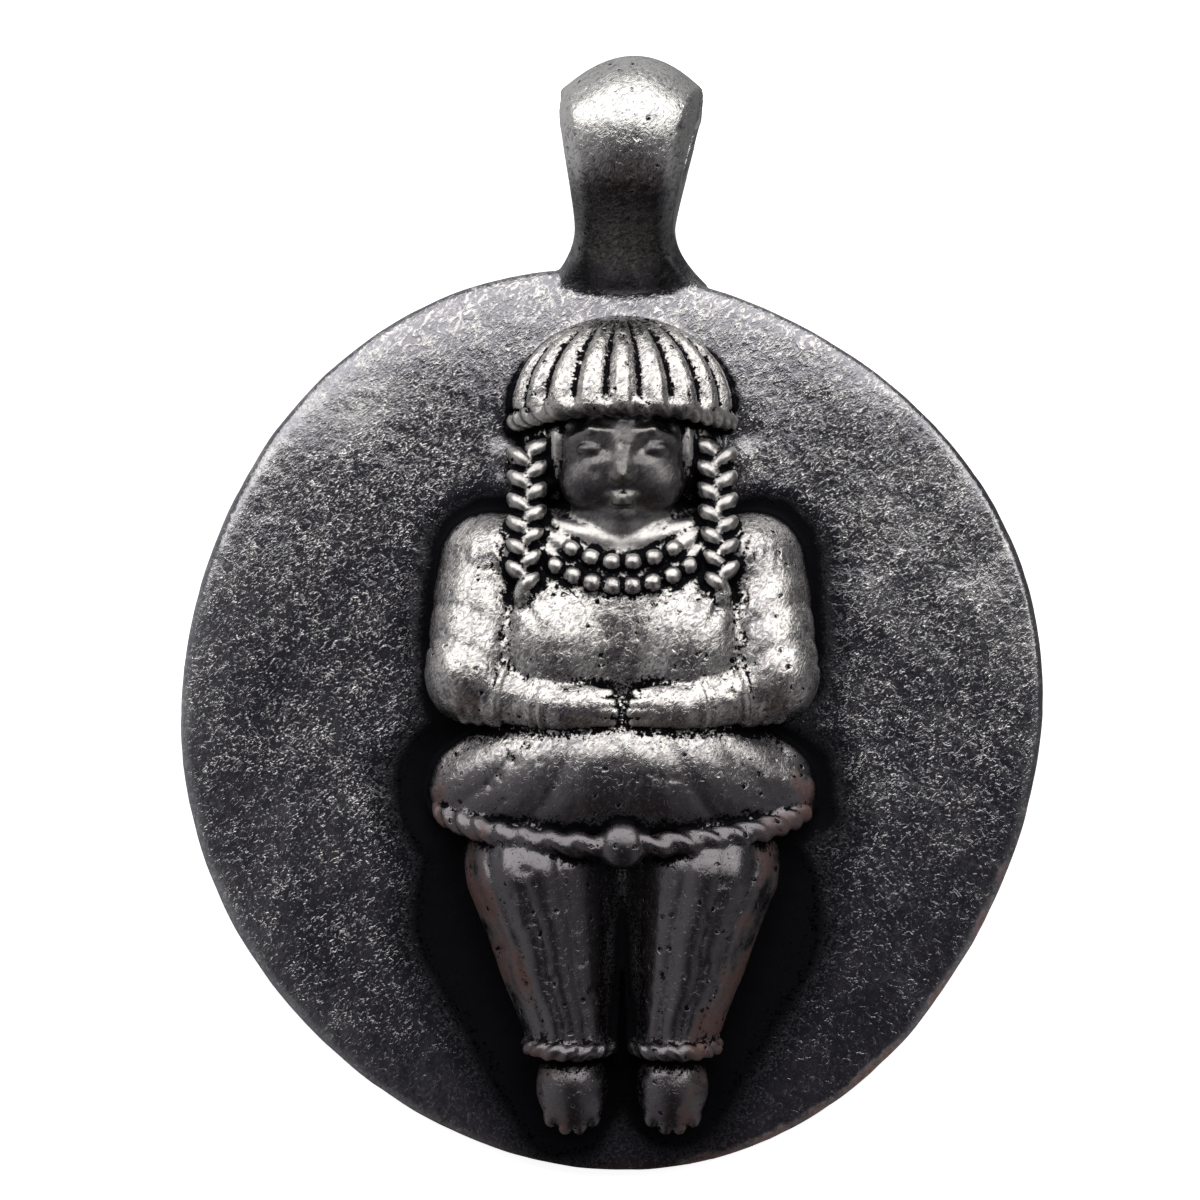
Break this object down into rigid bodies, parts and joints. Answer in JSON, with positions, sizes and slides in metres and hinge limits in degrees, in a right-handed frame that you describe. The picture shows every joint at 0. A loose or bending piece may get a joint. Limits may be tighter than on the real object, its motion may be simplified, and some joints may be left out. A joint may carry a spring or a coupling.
{
  "type": "goddess relief pendant",
  "caption": "Uneven round cast pewter pendant with a robed goddess in high relief on its face and a waisted strap-shaped bail, poured as one piece.",
  "frame": {"origin": "centre of the disc on its flat back, where the pendant lies", "axes": "+Z out of the decorated face, +Y from the disc's centre towards the bail, +X to the right as the face is looked at"},
  "size_m": [0.032, 0.0413, 0.0061],
  "materials": {
    "pewter": "antiqued cast pewter: dull silver on the high places, black patina in the hollows and round the figure, finely brushed and pitted"
  },
  "bodies": {
    "root": {"pendant": "pewter"}
  },
  "joints": []
}
